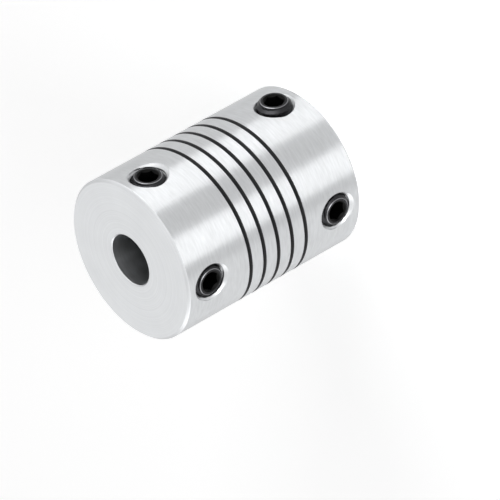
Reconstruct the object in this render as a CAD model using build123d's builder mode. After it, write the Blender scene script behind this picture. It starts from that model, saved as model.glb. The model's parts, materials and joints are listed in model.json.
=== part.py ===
from build123d import *
from math import radians, tan
import os

# Helical beam shaft coupling, in millimetres. It is turned from one bar: a hub at each end and a bore
# right through, and between the hubs a helical slot cuts the wall into a stiff spring. Two set screws
# at right angles hold the shaft in each hub. +Z runs along the bore, from the lower end face up.

# Turned body
body_diameter = 19.0
body_length = 25.0
bore_diameter = 6.0
rim_chamfer = 0.3
bore_chamfer = 0.15

# Helical slot, right-handed, with its ends on the side away from the screws
slot_pitch = 2.0
slot_turns = 5
slot_width = 0.5
slot_end_angle = 166.0
slot_overrun = 0.5

# Set screws: M4, hexagon socket, cup point
screw_diameter = 3.9
screw_length = 4.0
screw_face_diameter = 3.0
socket_across_flats = 2.0
socket_depth = 1.8
socket_mouth_diameter = 2.5
socket_mouth_angle = 90.0
drill_point_angle = 118.0
cup_diameter = 2.4
cup_angle = 120.0
cup_rim_width = 0.15

# Screw holes, tapped and countersunk
thread_clearance = 0.05
hole_inset = 3.4
hole_mouth_diameter = 4.8
hole_mouth_angle = 90.0

# How far each screw's top stands out from the hub's surface; below zero it is sunk
upper_screw_a_lift = -0.15
upper_screw_b_lift = -0.20
lower_screw_a_lift = 0.60
lower_screw_b_lift = -0.05

# Worked out from the sizes above
body_radius = body_diameter / 2
bore_radius = bore_diameter / 2
wall = body_radius - bore_radius
slot_height = slot_pitch * slot_turns
slot_bottom = (body_length - slot_height) / 2
screw_radius = screw_diameter / 2
hole_radius = screw_radius + thread_clearance


def hole_plane(direction, height):
    """Plane square to a screw hole where its axis leaves the hub, with its normal pointing out."""
    mouth = Vector(*direction) * body_radius + Vector(0, 0, height)
    return Plane(origin=mouth, x_dir=(0, 0, 1), z_dir=direction)


def point_height(radius, angle):
    """Height of a cone of this base radius and this full angle at its point."""
    return radius / tan(radians(angle / 2))


# Each hub has its screw a along +X and its screw b along -Y
upper_height = body_length - hole_inset
lower_height = hole_inset
screw_places = {
    "upper_screw_a": (hole_plane((1, 0, 0), upper_height), upper_screw_a_lift),
    "upper_screw_b": (hole_plane((0, -1, 0), upper_height), upper_screw_b_lift),
    "lower_screw_a": (hole_plane((1, 0, 0), lower_height), lower_screw_a_lift),
    "lower_screw_b": (hole_plane((0, -1, 0), lower_height), lower_screw_b_lift),
}


# The space of the slot: a flat bar on edge, wound up round the bore and longer than the wall is thick
with BuildPart() as slot:
    with BuildLine() as slot_path:
        Helix(slot_pitch, slot_height, bore_radius + wall / 2, center=(0, 0, slot_bottom))
    with BuildSketch(Plane(origin=slot_path.line @ 0, x_dir=(1, 0, 0), z_dir=slot_path.line % 0)):
        Rectangle(wall + 2 * slot_overrun, slot_width)
    sweep(path=slot_path.line, is_frenet=True)


with BuildPart() as coupling_body:
    with BuildSketch():
        Circle(body_radius)
        Circle(bore_radius, mode=Mode.SUBTRACT)
    extrude(amount=body_length)
    rims = coupling_body.edges().filter_by(GeomType.CIRCLE).group_by(SortBy.RADIUS)
    chamfer(rims[-1], length=rim_chamfer)
    chamfer(rims[0], length=bore_chamfer)
    add(slot.part, rotation=(0, 0, slot_end_angle), mode=Mode.SUBTRACT)
    with Locations(*[plane.location for plane, lift in screw_places.values()]):
        CounterSinkHole(
            hole_radius,
            hole_mouth_diameter / 2,
            depth=body_radius,
            counter_sink_angle=hole_mouth_angle,
        )


def cone_cut(base, diameter, angle, side):
    """Cut a cone that stands on the base plane and points the way that side says."""
    radius = diameter / 2
    radii = (radius, 0) if side == Align.MIN else (0, radius)
    with Locations(base.location):
        Cone(
            *radii,
            height=point_height(radius, angle),
            align=(Align.CENTER, Align.CENTER, side),
            mode=Mode.SUBTRACT,
        )


def set_screw(top):
    """One set screw, from its socketed face on the top plane down to its cup point."""
    with BuildPart() as screw:
        with BuildSketch(top):
            Circle(screw_radius)
        extrude(amount=-screw_length)
        ends = screw.edges().filter_by(GeomType.CIRCLE).sort_by(Axis(top.origin, top.z_dir))
        chamfer(ends[-1], length=(screw_diameter - screw_face_diameter) / 2)
        chamfer(ends[0], length=(screw_diameter - cup_diameter) / 2 - cup_rim_width)
        with BuildSketch(top):
            RegularPolygon(socket_across_flats / 2, side_count=6, major_radius=False)
        extrude(amount=-socket_depth, mode=Mode.SUBTRACT)
        cone_cut(top, socket_mouth_diameter, socket_mouth_angle, Align.MAX)
        cone_cut(top.offset(-socket_depth), socket_across_flats, drill_point_angle, Align.MAX)
        cone_cut(top.offset(-screw_length), cup_diameter, cup_angle, Align.MIN)
    return screw


os.makedirs("parts", exist_ok=True)
coupling_body.part.label = "coupling_body"
export_step(coupling_body.part, "parts/coupling_body.step")
for name, (plane, lift) in screw_places.items():
    screw = set_screw(plane.offset(lift))
    screw.part.label = name
    export_step(screw.part, f"parts/{name}.step")
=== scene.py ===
import json
from math import cos, pi, radians, sin, sqrt, tan
from types import SimpleNamespace

import bmesh
import bpy
import numpy as np
from mathutils import Matrix, Vector


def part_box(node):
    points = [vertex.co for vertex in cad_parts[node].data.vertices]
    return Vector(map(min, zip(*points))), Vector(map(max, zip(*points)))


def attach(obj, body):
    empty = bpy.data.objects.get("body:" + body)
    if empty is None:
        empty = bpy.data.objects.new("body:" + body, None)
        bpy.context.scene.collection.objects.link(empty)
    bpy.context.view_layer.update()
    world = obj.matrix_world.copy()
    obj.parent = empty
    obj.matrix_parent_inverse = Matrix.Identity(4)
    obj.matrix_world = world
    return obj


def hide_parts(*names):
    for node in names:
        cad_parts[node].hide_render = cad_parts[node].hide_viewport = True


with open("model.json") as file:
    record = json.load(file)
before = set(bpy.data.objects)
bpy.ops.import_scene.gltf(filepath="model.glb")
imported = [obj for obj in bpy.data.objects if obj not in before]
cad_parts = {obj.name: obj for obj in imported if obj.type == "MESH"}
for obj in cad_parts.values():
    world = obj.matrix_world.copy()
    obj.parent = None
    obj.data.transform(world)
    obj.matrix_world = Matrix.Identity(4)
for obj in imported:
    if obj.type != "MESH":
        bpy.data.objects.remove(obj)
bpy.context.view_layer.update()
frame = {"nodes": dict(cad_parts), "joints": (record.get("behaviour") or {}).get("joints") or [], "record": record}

MM = 0.001

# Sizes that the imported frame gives
BODY = "coupling_body"
SCREWS = [n for n in frame["nodes"] if n != BODY]
body_low, body_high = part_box(BODY)
BODY_RADIUS = (body_high.x - body_low.x) / 2
BODY_LENGTH = body_high.z - body_low.z
BORE_RADIUS = next(m["dims"]["r_mm"] for m in frame["record"]["mounts"] if m["name"] == "upper_bore") * MM

# Sizes of the helical slot and of the edges
SLOT_PITCH = 2.0 * MM
SLOT_TURNS = 5
SLOT_WIDTH = 0.5 * MM
SLOT_END = radians(166)
RIM_CHAMFER = 0.3 * MM
BORE_CHAMFER = 0.15 * MM
EDGE_ROUND = 0.04 * MM

# Sizes of the M4 thread, its holes and its set screws; its two flats are shares of the pitch
THREAD_PITCH = 0.7 * MM
HOLE_RADIUS = 2.0 * MM
HOLE_THREAD_DEPTH = 0.25 * MM
MOUTH_RADIUS = 2.4 * MM
INNER_FLAT = 0.25
OUTER_FLAT = 0.125
SCREW_THREAD_DEPTH = 0.38 * MM
FACE_RADIUS = 1.5 * MM
SOCKET_MOUTH_RADIUS = 1.25 * MM
SOCKET_FLAT = 1.0 * MM
SOCKET_DEPTH = 1.8 * MM
DRILL_POINT_DEPTH = 0.6 * MM
CUP_RADIUS = 1.2 * MM
CUP_DEPTH = 0.69 * MM
POINT_RADIUS = 1.35 * MM
WORN_EDGE = 0.05 * MM

# How finely round things are divided
BODY_STEPS = 360
SCREW_STEPS = 96
SHANK_RINGS = 93
RINGS_PER_PITCH = 16

# How far the cutting tools reach past what they cut, and how far from the axis a hole's tool starts
SLOT_TOOL_REACH = 0.5 * MM
HOLE_TOOL_REACH = 1.0 * MM
HOLE_TOOL_START = 0.5 * MM

# How near points have to be to join, and how near a point or a face has to be to a surface to lie on it
SAME_POINT = 1e-8
ON_SURFACE = 1e-7
NEAR_SURFACE = 0.01 * MM
MOUTH_MARGIN = 0.05 * MM

# How far along Z a face's normal has to point to be level, how little to be upright, how far a
# countersink's points along the hole, and the least angle that stays a sharp edge
LEVEL = 0.9
UPRIGHT = 0.05
SLOPE = sqrt(0.5)
SLOPE_MARGIN = 0.2
SHARP_ANGLE = radians(32)


# ---------------------------------------------------------------- meshes

def ring_mesh(name, rings, closed=False):
    """A mesh of quads between rings of points, all with as many points; open ends are capped."""
    rings = np.asarray(rings, float)
    rows, around = rings.shape[:2]
    index = np.arange(rows * around).reshape(rows, around)
    lower = index if closed else index[:-1]
    upper = np.roll(index, -1, axis=0) if closed else index[1:]
    quads = np.stack([lower, np.roll(lower, -1, 1), np.roll(upper, -1, 1), upper], axis=-1).reshape(-1, 4)
    faces = quads.tolist()
    if not closed:
        faces += [index[0][::-1].tolist(), index[-1].tolist()]
    mesh = bpy.data.meshes.new(name)
    mesh.from_pydata(rings.reshape(-1, 3).tolist(), [], faces)
    clean(mesh)
    piece = bpy.data.objects.new(name, mesh)
    bpy.context.scene.collection.objects.link(piece)
    return piece


def clean(mesh):
    """Join the points that meet at a pole and turn every face outwards."""
    work = bmesh.new()
    work.from_mesh(mesh)
    bmesh.ops.remove_doubles(work, verts=work.verts, dist=SAME_POINT)
    bmesh.ops.recalc_face_normals(work, faces=work.faces)
    work.to_mesh(mesh)
    work.free()


def turned(name, outline, around):
    """A solid of revolution about Z, from a closed outline of (radius, height)."""
    angles = np.arange(around) * 2 * pi / around
    rings = [[(r * cos(a), r * sin(a), z) for a in angles] for r, z in outline]
    return ring_mesh(name, rings, closed=True)


def rounded(corners, radius, steps=4):
    """A closed outline with each corner rounded to this radius."""
    corners = np.asarray(corners, float)
    points = []
    for before, corner, after in zip(np.roll(corners, 1, 0), corners, np.roll(corners, -1, 0)):
        back = (before - corner) / np.linalg.norm(before - corner)
        ahead = (after - corner) / np.linalg.norm(after - corner)
        half = np.arccos(np.clip(back @ ahead, -1, 1)) / 2
        middle = (back + ahead) / np.linalg.norm(back + ahead)
        centre = corner + middle * radius / sin(half)
        first = corner + back * radius / tan(half) - centre
        last = corner + ahead * radius / tan(half) - centre
        for share in np.linspace(0, 1, steps + 1):
            arm = first * (1 - share) + last * share
            points.append(centre + arm * radius / np.linalg.norm(arm))
    return points


def cut(piece, tool):
    """Take the tool's space out of the piece and delete the tool."""
    step = piece.modifiers.new("cut", "BOOLEAN")
    step.operation = "DIFFERENCE"
    step.solver = "MANIFOLD"
    step.object = tool
    shaped = bpy.data.meshes.new_from_object(piece.evaluated_get(bpy.context.evaluated_depsgraph_get()))
    piece.modifiers.clear()
    old = piece.data
    piece.data = shaped
    bpy.data.meshes.remove(old)
    bpy.data.objects.remove(tool)


# ---------------------------------------------------------------- threads

def thread_wave(turns):
    """An M thread's section: 0 on its inner flat, at half a turn, and 1 on its outer one, at a whole turn."""
    from_half = abs(turns % 1 - 0.5) * 2
    return np.clip((from_half - INNER_FLAT) / (1 - INNER_FLAT - OUTER_FLAT), 0, 1)


def screw_place(node):
    """What the frame says of a set screw: its body, outward axis, level, radius and both ends."""
    bodies = frame["record"]["behaviour"]["bodies"]
    carrier = next(name for name, nodes in bodies.items() if node in nodes)
    out = Vector(next(j["axis"] for j in frame["joints"] if j["child"] == carrier))
    up = Vector((0, 0, 1))
    low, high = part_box(node)
    ends = [abs(low @ out), abs(high @ out)]
    return SimpleNamespace(
        carrier=carrier, out=out, up=up, side=out.cross(up), level=(low.z + high.z) / 2,
        radius=(high.z - low.z) / 2, tip=min(ends), top=max(ends),
    )


def thread_rings(radius_at, heights, place):
    """Rings about a set screw's axis; radius_at(height, angle) is each point's distance from it."""
    level = Vector((0, 0, place.level))
    rings = []
    for height in heights:
        ring = []
        for angle in np.arange(SCREW_STEPS) * 2 * pi / SCREW_STEPS:
            r = radius_at(height, angle)
            arm = place.up * cos(angle) + place.side * sin(angle)
            ring.append(level + place.out * height + arm * r)
        rings.append(ring)
    return rings


def from_hole_axis(centres, place):
    """How far each face's centre is from a set screw's axis."""
    return np.hypot(centres @ np.array(place.side), centres[:, 2] - place.level)


# ---------------------------------------------------------------- body

def slot_tool():
    """The helical slot: a bar on edge that winds up from its lower end to its upper end."""
    bottom = (BODY_LENGTH - SLOT_PITCH * SLOT_TURNS) / 2
    inner, outer = BORE_RADIUS - SLOT_TOOL_REACH, BODY_RADIUS + SLOT_TOOL_REACH
    rings = []
    for turns in np.linspace(0, SLOT_TURNS, SLOT_TURNS * BODY_STEPS + 1):
        angle = SLOT_END + turns * 2 * pi
        z = bottom + turns * SLOT_PITCH
        edge = [(inner, -1), (outer, -1), (outer, 1), (inner, 1)]
        rings.append([(r * cos(angle), r * sin(angle), z + s * SLOT_WIDTH / 2) for r, s in edge])
    return ring_mesh("slot_tool", rings)


def hole_tool(node):
    """A tapped and countersunk hole, from inside the bore to outside the hub."""
    def radius_at(height, angle):
        thread = HOLE_THREAD_DEPTH * thread_wave(height / THREAD_PITCH - angle / (2 * pi))
        return max(HOLE_RADIUS + thread, MOUTH_RADIUS + height - BODY_RADIUS)

    heights = np.arange(HOLE_TOOL_START, BODY_RADIUS + HOLE_TOOL_REACH, THREAD_PITCH / RINGS_PER_PITCH)
    return ring_mesh("hole_tool", thread_rings(radius_at, heights, screw_place(node)))


def make_body():
    """The turned sleeve with its helical slot and its four tapped holes."""
    r, b, top = BODY_RADIUS, BORE_RADIUS, BODY_LENGTH
    corners = [
        (b, BORE_CHAMFER), (b + BORE_CHAMFER, 0), (r - RIM_CHAMFER, 0), (r, RIM_CHAMFER),
        (r, top - RIM_CHAMFER), (r - RIM_CHAMFER, top), (b + BORE_CHAMFER, top), (b, top - BORE_CHAMFER),
    ]
    body = turned("turned_body", rounded(corners, EDGE_ROUND), BODY_STEPS)
    cut(body, slot_tool())
    for node in SCREWS:
        cut(body, hole_tool(node))
    return body


# ---------------------------------------------------------------- set screws

def make_screw(node):
    """A socket set screw with a real thread, a cup point and a hexagon socket."""
    place = screw_place(node)
    tip, top = place.tip, place.top

    def shank(height, angle):
        wave = thread_wave(height / THREAD_PITCH - angle / (2 * pi) + 0.5)
        thread = place.radius - SCREW_THREAD_DEPTH * (1 - wave)
        return min(thread, POINT_RADIUS + height - tip, FACE_RADIUS + top - height)

    def hexagon(angle):
        return SOCKET_FLAT / cos((angle + pi / 6) % (pi / 3) - pi / 6)

    def circle(radius, height):
        return thread_rings(lambda h, a: radius, [height], place)

    def socket(height):
        return thread_rings(lambda h, a: hexagon(a), [height], place)

    rings = circle(0, tip + CUP_DEPTH)
    rings += circle(CUP_RADIUS, tip)
    rings += thread_rings(shank, np.linspace(tip, top - WORN_EDGE, SHANK_RINGS), place)
    rings += circle(FACE_RADIUS - WORN_EDGE / 2, top)
    rings += circle(SOCKET_MOUTH_RADIUS, top)
    mouth = socket(top)[0]
    angles = np.arange(len(mouth)) * 2 * pi / len(mouth)
    rings.append([p - place.out * (SOCKET_MOUTH_RADIUS - hexagon(a)) for p, a in zip(mouth, angles)])
    rings += socket(top - SOCKET_DEPTH)
    rings += circle(SOCKET_FLAT, top - SOCKET_DEPTH)
    rings += circle(0, top - SOCKET_DEPTH - DRILL_POINT_DEPTH)
    return ring_mesh(node + "_threaded", rings)


# ---------------------------------------------------------------- materials

# Spacing and height of the tool marks, how fine they are round the axis, and the mottling's scale and share
MARK_SPACING = 0.2 * MM
MARK_HEIGHT = 4e-6
ROUND_SCALE = 700
MOTTLE_SCALE = 350.0
MOTTLE_SHARE = 0.3

# How far the marks swing the gloss and the colour about their means
ROUGHNESS_SWING = 0.25
TINT_SWING = 0.1


def node_setup(name):
    """A new material with its node tree and its shader."""
    material = bpy.data.materials.new(name)
    material.use_nodes = True
    tree = material.node_tree
    return material, tree, tree.nodes["Principled BSDF"]


def add(tree, kind, inputs=(), **settings):
    """A node with its settings, and its inputs linked or set."""
    node = tree.nodes.new(kind)
    for key, value in settings.items():
        setattr(node, key, value)
    for key, value in dict(inputs).items():
        if isinstance(value, bpy.types.NodeSocket):
            tree.links.new(value, node.inputs[key])
        else:
            node.inputs[key].default_value = value
    return node


def tool_marks(tree, place, lie):
    """Noise spaced along Z (on a side) or outwards (on a face), and drawn out round the axis."""
    if lie == "side":
        stretch = (ROUND_SCALE, ROUND_SCALE, 1 / MARK_SPACING)
        scaled = add(tree, "ShaderNodeMapping", {"Vector": place, "Scale": stretch}).outputs[0]
    else:
        flat = add(tree, "ShaderNodeMapping", {"Vector": place, "Scale": (1, 1, 0)}).outputs[0]
        away = add(tree, "ShaderNodeVectorMath", {0: flat}, operation="LENGTH").outputs["Value"]
        count = add(tree, "ShaderNodeMath", {0: away, 1: 1 / MARK_SPACING}, operation="MULTIPLY").outputs[0]
        scaled = add(tree, "ShaderNodeCombineXYZ", {"X": count}).outputs[0]
    noise = {"Vector": scaled, "Scale": 1.0, "Detail": 3.0, "Roughness": 0.5}
    return add(tree, "ShaderNodeTexNoise", noise).outputs["Fac"]


def metal(name, colour, roughness, anisotropic=0.0, marks=None):
    """Bare machined metal: fine tool marks in its colour, gloss and relief, and a faint mottling."""
    material, tree, shader = node_setup(name)
    place = add(tree, "ShaderNodeTexCoord").outputs["Object"]
    shader.inputs["Metallic"].default_value = 1.0
    shader.inputs["Anisotropic"].default_value = anisotropic
    shader.inputs["Anisotropic Rotation"].default_value = 0.25
    noise = {"Vector": place, "Scale": MOTTLE_SCALE, "Detail": 3.0}
    pattern = add(tree, "ShaderNodeTexNoise", noise).outputs["Fac"]
    if marks:
        lines = tool_marks(tree, place, marks)
        both = {0: pattern, 1: MOTTLE_SHARE, 2: lines}
        pattern = add(tree, "ShaderNodeMath", both, operation="MULTIPLY_ADD").outputs[0]
        rough = add(tree, "ShaderNodeMapRange", {"Value": lines})
        rough.inputs["To Min"].default_value = roughness * (1 - ROUGHNESS_SWING)
        rough.inputs["To Max"].default_value = roughness * (1 + ROUGHNESS_SWING)
        bump = add(tree, "ShaderNodeBump", {"Height": lines, "Strength": 1.0, "Distance": MARK_HEIGHT})
        tree.links.new(rough.outputs["Result"], shader.inputs["Roughness"])
        tree.links.new(bump.outputs["Normal"], shader.inputs["Normal"])
    else:
        shader.inputs["Roughness"].default_value = roughness
    spread = add(tree, "ShaderNodeMapRange", {"Value": pattern})
    spread.inputs["From Min"].default_value = 0.35
    spread.inputs["From Max"].default_value = 0.95 if marks else 0.65
    tint = add(tree, "ShaderNodeMix", {"Factor": spread.outputs["Result"]}, data_type="RGBA")
    tint.inputs["A"].default_value = (*[c * (1 - TINT_SWING) for c in colour], 1)
    tint.inputs["B"].default_value = (*[c * (1 + TINT_SWING) for c in colour], 1)
    tree.links.new(tint.outputs["Result"], shader.inputs["Base Color"])
    if anisotropic:
        grain = add(tree, "ShaderNodeTangent", direction_type="RADIAL", axis="Z")
        tree.links.new(grain.outputs["Tangent"], shader.inputs["Tangent"])
    return material


ALUMINIUM = (0.57, 0.58, 0.59)
BODY_MATERIALS = {
    "turned_side": metal("turned_side", ALUMINIUM, 0.38, anisotropic=1.0, marks="side"),
    "faced_end": metal("faced_end", ALUMINIUM, 0.38, marks="face"),
    # The bore is the same metal with a darker colour: painted shade for the dark inside of the bore.
    "bored_wall_painted_shade": metal("bored_wall_painted_shade", (0.42, 0.43, 0.44), 0.4, marks="side"),
    # The slot walls are bare metal but get a near-black colour: painted shade for the dark depth of the slot.
    "cut_wall_painted_shade": metal("cut_wall_painted_shade", (0.2, 0.2, 0.205), 0.6),
    "tapped_wall": metal("tapped_wall", (0.5, 0.51, 0.52), 0.35),
    "countersink": metal("countersink", (0.56, 0.57, 0.58), 0.4),
}
SCREW_MATERIALS = {
    "black_oxide": metal("black_oxide", (0.03, 0.03, 0.032), 0.36),
    # The socket is black oxide like the rest of the screw; its darker colour is painted shade in the recess.
    "socket_painted_shade": metal("socket_painted_shade", (0.008, 0.008, 0.008), 0.5),
    # The ring at the edge of the face is lighter: partly bright metal where the edge is worn, partly a painted
    # highlight.
    "worn_edge_and_highlight": metal("worn_edge_and_highlight", (0.2, 0.2, 0.21), 0.3),
}


def dress(mesh, materials):
    """Give a mesh its materials, and smooth shading except across sharp edges."""
    mesh.materials.clear()
    for material in materials.values():
        mesh.materials.append(material)
    mesh.shade_smooth()
    mesh.set_sharp_from_angle(angle=SHARP_ANGLE)


def table(items, field):
    """One vector field of a mesh's faces, points or corners as a table of three columns."""
    values = np.empty(len(items) * 3)
    items.foreach_get(field, values)
    return values.reshape(-1, 3)


def near_slot(centres):
    """Which faces lie in the part of the length that the slot takes up."""
    reach = SLOT_PITCH * SLOT_TURNS / 2 + SLOT_PITCH / 2
    return abs(centres[:, 2] - BODY_LENGTH / 2) < reach


def body_finishes(mesh, names):
    """The number of each face's finish or painted shade (on the slot walls and in the bore), told by where the
    face is and which way it looks.
    """
    centres, normals = table(mesh.polygons, "center"), table(mesh.polygons, "normal")
    away = np.hypot(centres[:, 0], centres[:, 1])
    flat = abs(normals[:, 2])
    outside = abs(away - BODY_RADIUS) < NEAR_SURFACE
    inside = abs(away - BORE_RADIUS) < NEAR_SURFACE
    upright = flat < UPRIGHT
    at_end = (centres[:, 2] < RIM_CHAMFER) | (centres[:, 2] > BODY_LENGTH - RIM_CHAMFER)
    kind = np.full(len(away), names.index("tapped_wall"))
    for node in SCREWS:
        place = screw_place(node)
        out = np.array(place.out)
        from_axis = from_hole_axis(centres, place)
        in_mouth = (centres @ out > 0) & (from_axis < MOUTH_RADIUS + MOUTH_MARGIN)
        slopes = abs(normals @ out - SLOPE) < SLOPE_MARGIN
        kind[in_mouth & slopes & (from_axis > HOLE_RADIUS)] = names.index("countersink")
    # Faces of the slot's walls get the slot's painted shade.
    kind[(flat > LEVEL) & (away < BODY_RADIUS) & ~at_end & near_slot(centres)] = names.index("cut_wall_painted_shade")
    kind[at_end & (flat > UPRIGHT)] = names.index("faced_end")
    # Faces of the bore get its painted shade.
    kind[inside & upright] = names.index("bored_wall_painted_shade")
    kind[outside & upright] = names.index("turned_side")
    return kind


def true_normals(mesh, kind, names):
    """Corner normals with those of a true cylinder on the turned walls and of a true plane on the ends."""
    loops = table(mesh.corner_normals, "vector")
    points = table(mesh.vertices, "co")
    radial = {names.index("turned_side"): 1, names.index("bored_wall_painted_shade"): -1}
    end = names.index("faced_end")
    for polygon in mesh.polygons:
        way = radial.get(kind[polygon.index])
        if way is None and kind[polygon.index] != end:
            continue
        for corner in polygon.loop_indices:
            x, y, z = points[mesh.loops[corner].vertex_index]
            r = sqrt(x * x + y * y)
            if way or r > BODY_RADIUS - ON_SURFACE:
                sign = way or 1
                loops[corner] = (sign * x / r, sign * y / r, 0)
            elif z < ON_SURFACE or z > BODY_LENGTH - ON_SURFACE:
                loops[corner] = (0, 0, 1 if z > BODY_LENGTH / 2 else -1)
    return loops


def dress_body(body):
    """Give each surface of the body its own finish, with painted shade on the slot walls and in the bore, and its
    turned walls and ends true normals.
    """
    mesh = body.data
    dress(mesh, BODY_MATERIALS)
    names = list(BODY_MATERIALS)
    kind = body_finishes(mesh, names)
    mesh.polygons.foreach_set("material_index", kind.astype(np.int32))
    mesh.normals_split_custom_set(true_normals(mesh, kind, names).tolist())


def dress_screw(screw, node):
    """Black oxide outside, painted shade inside the socket, and a lighter ring at the edge of the face that is
    partly worn bright metal and partly a painted highlight.
    """
    mesh = screw.data
    dress(mesh, SCREW_MATERIALS)
    names = list(SCREW_MATERIALS)
    place = screw_place(node)
    centres = table(mesh.polygons, "center")
    depth = place.top - centres @ np.array(place.out)
    from_axis = from_hole_axis(centres, place)
    in_socket = (from_axis < SOCKET_MOUTH_RADIUS) & (depth < SOCKET_DEPTH + DRILL_POINT_DEPTH)
    at_edge = (depth < WORN_EDGE) & (from_axis > FACE_RADIUS - WORN_EDGE)
    kind = np.full(len(centres), names.index("black_oxide"))
    # Faces inside the socket get its painted shade.
    kind[in_socket] = names.index("socket_painted_shade")
    # Faces at the edge of the face get the worn and painted-highlight ring.
    kind[at_edge] = names.index("worn_edge_and_highlight")
    mesh.polygons.foreach_set("material_index", kind.astype(np.int32))


# ---------------------------------------------------------------- stage

# How much the floor is lifted where it is seen, the sky's level where it only lights, the half
# width of the floor and how far it lies below the part, and how far off the soft boxes stand
FLOOR_LIFT = 0.5
SKY_LEVEL = 0.15
FLOOR_SIZE = 3.0
FLOOR_DROP = 0.01 * MM
BOX_DISTANCE = 0.6

# Each soft box's name, azimuth, elevation, width, height and radiance
BOXES = [
    ("back_box", 10, 15, 0.48, 0.32, 4.2),
    ("front_box", -69, 15, 0.38, 0.32, 4.2),
    ("left_box", -142, 15, 0.9, 0.32, 1.4),
    ("far_box", 132, 40, 0.6, 0.6, 0.25),
    ("right_box", 52, 15, 0.36, 0.32, 0.5),
    ("top_box", -48, 84, 0.6, 0.6, 0.4),
]


def softbox(name, azimuth, elevation, width, height, radiance):
    """A soft light of even brightness that faces the part, at an azimuth from +X and an elevation."""
    light = bpy.data.lights.new(name, "AREA")
    light.shape = "RECTANGLE"
    light.size = width
    light.size_y = height
    light.energy = radiance * pi * width * height
    lamp = bpy.data.objects.new(name, light)
    bpy.context.scene.collection.objects.link(lamp)
    a, e = radians(azimuth), radians(elevation)
    centre = Vector((0, 0, BODY_LENGTH / 2))
    away = Vector((cos(a) * cos(e), sin(a) * cos(e), sin(e)))
    lamp.location = centre + away * BOX_DISTANCE
    lamp.rotation_euler = away.to_track_quat("Z", "Y").to_euler()


def seen_rays(tree):
    """1 for the rays that see the background: from the camera, from gloss and through glass."""
    rays = add(tree, "ShaderNodeLightPath").outputs
    either = {0: rays["Is Camera Ray"], 1: rays["Is Glossy Ray"]}
    shiny = add(tree, "ShaderNodeMath", either, operation="MAXIMUM").outputs[0]
    seen = {0: shiny, 1: rays["Is Transmission Ray"]}
    return add(tree, "ShaderNodeMath", seen, operation="MAXIMUM").outputs[0]


def pale_floor():
    """A white floor that keeps shadows, lifted to white where the background is seen."""
    around = [(-1, -1), (1, -1), (1, 1), (-1, 1)]
    corners = [(x * FLOOR_SIZE, y * FLOOR_SIZE, -FLOOR_DROP) for x, y in around]
    mesh = bpy.data.meshes.new("floor")
    mesh.from_pydata(corners, [], [(0, 1, 2, 3)])
    floor = bpy.data.objects.new("floor", mesh)
    bpy.context.scene.collection.objects.link(floor)
    material, tree, shader = node_setup("pale_floor")
    shader.inputs["Base Color"].default_value = (0.86, 0.86, 0.86, 1)
    shader.inputs["Roughness"].default_value = 0.9
    shader.inputs["Specular IOR Level"].default_value = 0.0
    shader.inputs["Emission Color"].default_value = (1, 1, 1, 1)
    lift = add(tree, "ShaderNodeMath", {0: seen_rays(tree), 1: FLOOR_LIFT}, operation="MULTIPLY")
    tree.links.new(lift.outputs[0], shader.inputs["Emission Strength"])
    mesh.materials.append(material)


def pale_sky():
    """An even sky that the camera and glossy surfaces see as white."""
    world = bpy.data.worlds.new("sky")
    world.use_nodes = True
    tree = world.node_tree
    level = add(tree, "ShaderNodeMapRange", {"Value": seen_rays(tree)})
    level.inputs["To Min"].default_value = SKY_LEVEL
    level.inputs["To Max"].default_value = 1.0
    back = tree.nodes["Background"]
    back.inputs["Color"].default_value = (1, 1, 1, 1)
    tree.links.new(level.outputs["Result"], back.inputs["Strength"])
    bpy.context.scene.world = world


def make_stage():
    """The floor, the sky and the soft boxes round the part."""
    pale_floor()
    pale_sky()
    for box in BOXES:
        softbox(*box)


# ---------------------------------------------------------------- camera

CAMERA_AZIMUTH = 42.39
CAMERA_ELEVATION = 31.50
CAMERA_ROLL = -119.47
CAMERA_DISTANCE = 672.3 * MM
CAMERA_LENS = 446.9
CAMERA_AIM = Vector((-3.57, -4.04, 11.55)) * MM


def make_camera():
    """A long lens from the side of the set screws, rolled so that the upper end points down and left."""
    data = bpy.data.cameras.new("camera")
    data.lens = CAMERA_LENS
    camera = bpy.data.objects.new("camera", data)
    bpy.context.scene.collection.objects.link(camera)
    a, e = radians(CAMERA_AZIMUTH), radians(CAMERA_ELEVATION)
    back = Vector((sin(a) * cos(e), -cos(a) * cos(e), sin(e)))
    turn = (-back).to_track_quat("-Z", "Y").to_matrix() @ Matrix.Rotation(radians(CAMERA_ROLL), 3, "Z")
    camera.matrix_world = Matrix.Translation(CAMERA_AIM + back * CAMERA_DISTANCE) @ turn.to_4x4()
    bpy.context.scene.camera = camera


# ---------------------------------------------------------------- putting it together

body = make_body()
dress_body(body)
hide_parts(BODY)
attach(body, "coupling")
for node in SCREWS:
    screw = make_screw(node)
    carrier = screw_place(node).carrier
    dress_screw(screw, node)
    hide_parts(node)
    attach(screw, carrier)
make_stage()
make_camera()
bpy.context.scene.view_settings.view_transform = "Standard"
